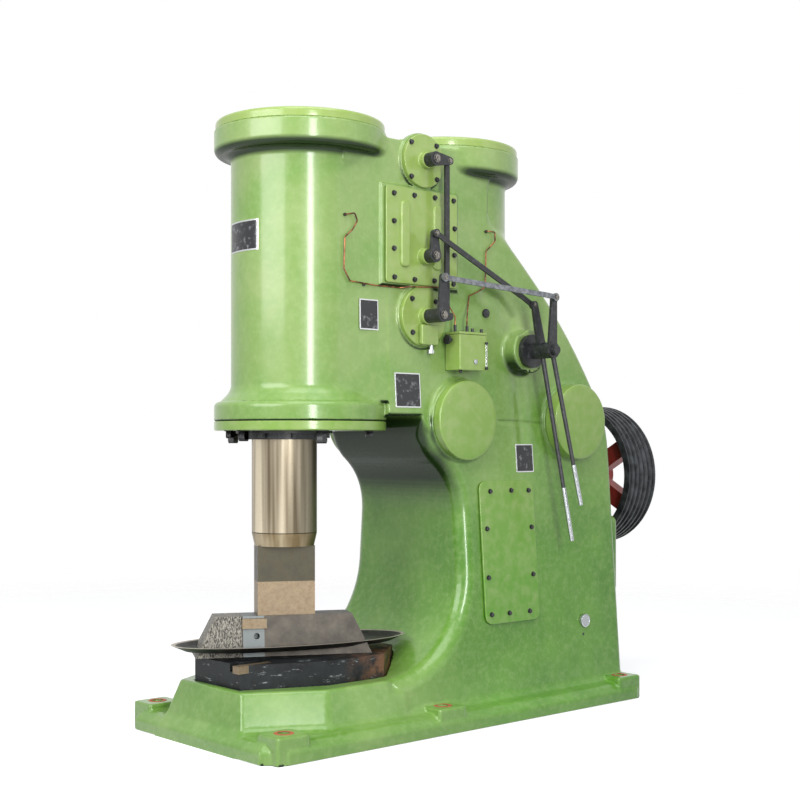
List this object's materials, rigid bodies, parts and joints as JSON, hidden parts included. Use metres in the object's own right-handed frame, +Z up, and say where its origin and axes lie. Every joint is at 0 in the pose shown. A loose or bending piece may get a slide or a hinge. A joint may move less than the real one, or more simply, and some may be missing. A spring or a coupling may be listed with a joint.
{
  "type": "pneumatic forging hammer",
  "caption": "Two-cylinder air forging hammer: C-shaped cast frame, vertical ram over an anvil, hand levers linked to rotary valves, and a rear belt pulley.",
  "frame": {"origin": "on the underside of the base casting, where the ram's axis meets the floor", "axes": "+Z up along the ram, +X from the ram back to the belt pulley, the valve and lever side faces -Y"},
  "size_m": [3.3573, 1.4789, 3.405],
  "materials": {
    "green_enamel": "gloss",
    "black_steel": "satin",
    "grey_steel": "satin",
    "bright_steel": "polished",
    "turned_steel": "turned",
    "die_steel": "ground",
    "scaled_iron": "scaled",
    "tray_steel": "dull",
    "pulley_iron": "matt",
    "copper_tube": "dull",
    "plug_steel": "satin"
  },
  "bodies": {
    "frame": {"frame_casting": "green_enamel", "working_cylinder_cover": "green_enamel", "compressor_cover": "green_enamel", "lower_cylinder_cover": "green_enamel", "rod_gland": "black_steel", "lower_die": "die_steel", "sow_block": "scaled_iron", "scale_tray": "tray_steel", "anvil_block": "scaled_iron", "valve_side_front_round_cover": "green_enamel", "valve_side_rear_round_cover": "green_enamel", "valve_side_inspection_cover": "green_enamel", "far_side_front_round_cover": "green_enamel", "far_side_rear_round_cover": "green_enamel", "far_side_inspection_cover": "green_enamel", "upper_valve_cover": "green_enamel", "lower_valve_cover": "green_enamel", "valve_chest_cover": "green_enamel", "far_side_upper_valve_cap": "green_enamel", "far_side_lower_valve_cap": "green_enamel", "far_side_middle_valve_cap": "green_enamel", "drain_plug": "plug_steel", "die_key": "die_steel", "sow_key": "die_steel", "lever_bracket": "black_steel", "lubricator": "green_enamel", "lubricator_crank": "black_steel", "lubricator_fittings": "black_steel", "lubricator_gauge": "bright_steel", "front_pipe_fitting": "black_steel", "rear_pipe_fitting": "black_steel", "front_oil_pipe": "copper_tube", "rear_oil_pipe": "copper_tube", "bearing_cap": "green_enamel", "oil_sight": "plug_steel", "side_plug": "black_steel"},
    "ram": {"ram": "turned_steel", "upper_die": "die_steel"},
    "pulley": {"belt_pulley": "pulley_iron", "crankshaft_end": "turned_steel"},
    "inner_lever": {"inner_lever": "black_steel", "inner_grip": "bright_steel"},
    "inner_link": {"inner_link": "black_steel"},
    "middle_valve": {"middle_valve_arm": "black_steel"},
    "outer_lever": {"outer_lever": "black_steel", "outer_grip": "bright_steel"},
    "outer_link": {"outer_link": "grey_steel"},
    "lower_valve": {"lower_valve_arm": "black_steel"},
    "valve_rod": {"valve_rod": "black_steel"},
    "upper_valve": {"upper_valve_arm": "black_steel"}
  },
  "joints": [
    {"name": "ram_slide", "type": "slide", "parent": "frame", "child": "ram", "axis": [0, 0, 1], "range_m": [0, 0.56]},
    {"name": "pulley_spin", "type": "hinge", "parent": "frame", "child": "pulley", "pos_m": [2.5945, 0, 1.394], "axis": [1, 0, 0], "continuous": true},
    {"name": "inner_lever_swing", "type": "hinge", "parent": "frame", "child": "inner_lever", "pos_m": [1.464, -0.594, 2.162], "axis": [0, -1, 0], "range_deg": [-10, 10]},
    {"name": "inner_link_pivot", "type": "hinge", "parent": "inner_lever", "child": "inner_link", "pos_m": [1.4, -0.584, 2.432], "axis": [0, -1, 0], "range_deg": [-10.8, 10.8]},
    {"name": "middle_valve_turn", "type": "hinge", "parent": "frame", "child": "middle_valve", "pos_m": [0.661, -0.5, 2.668], "axis": [0, -1, 0], "range_deg": [-19.8, 19.8]},
    {"name": "outer_lever_swing", "type": "hinge", "parent": "frame", "child": "outer_lever", "pos_m": [1.464, -0.667, 2.162], "axis": [0, -1, 0], "range_deg": [-10, 10]},
    {"name": "outer_link_pivot", "type": "hinge", "parent": "outer_lever", "child": "outer_link", "pos_m": [1.478, -0.702, 2.475], "axis": [0, -1, 0], "range_deg": [-9.9, 9.9]},
    {"name": "lower_valve_turn", "type": "hinge", "parent": "frame", "child": "lower_valve", "pos_m": [0.661, -0.54, 2.329], "axis": [0, -1, 0], "range_deg": [-15.1, 15.1]},
    {"name": "valve_rod_pivot", "type": "hinge", "parent": "lower_valve", "child": "valve_rod", "pos_m": [0.77, -0.5085, 2.329], "axis": [0, -1, 0], "range_deg": [-15.1, 15.1]},
    {"name": "upper_valve_turn", "type": "hinge", "parent": "frame", "child": "upper_valve", "pos_m": [0.661, -0.51, 3.212], "axis": [0, -1, 0], "range_deg": [-15.1, 15.1]}
  ],
  "couplings": [
    {"joint": "inner_link_pivot", "follows": "inner_lever_swing", "ratio": -1.072},
    {"joint": "middle_valve_turn", "follows": "inner_lever_swing", "ratio": 1.974},
    {"joint": "outer_link_pivot", "follows": "outer_lever_swing", "ratio": -0.983},
    {"joint": "lower_valve_turn", "follows": "outer_lever_swing", "ratio": 1.502},
    {"joint": "valve_rod_pivot", "follows": "outer_lever_swing", "ratio": -1.502},
    {"joint": "upper_valve_turn", "follows": "outer_lever_swing", "ratio": 1.502}
  ]
}
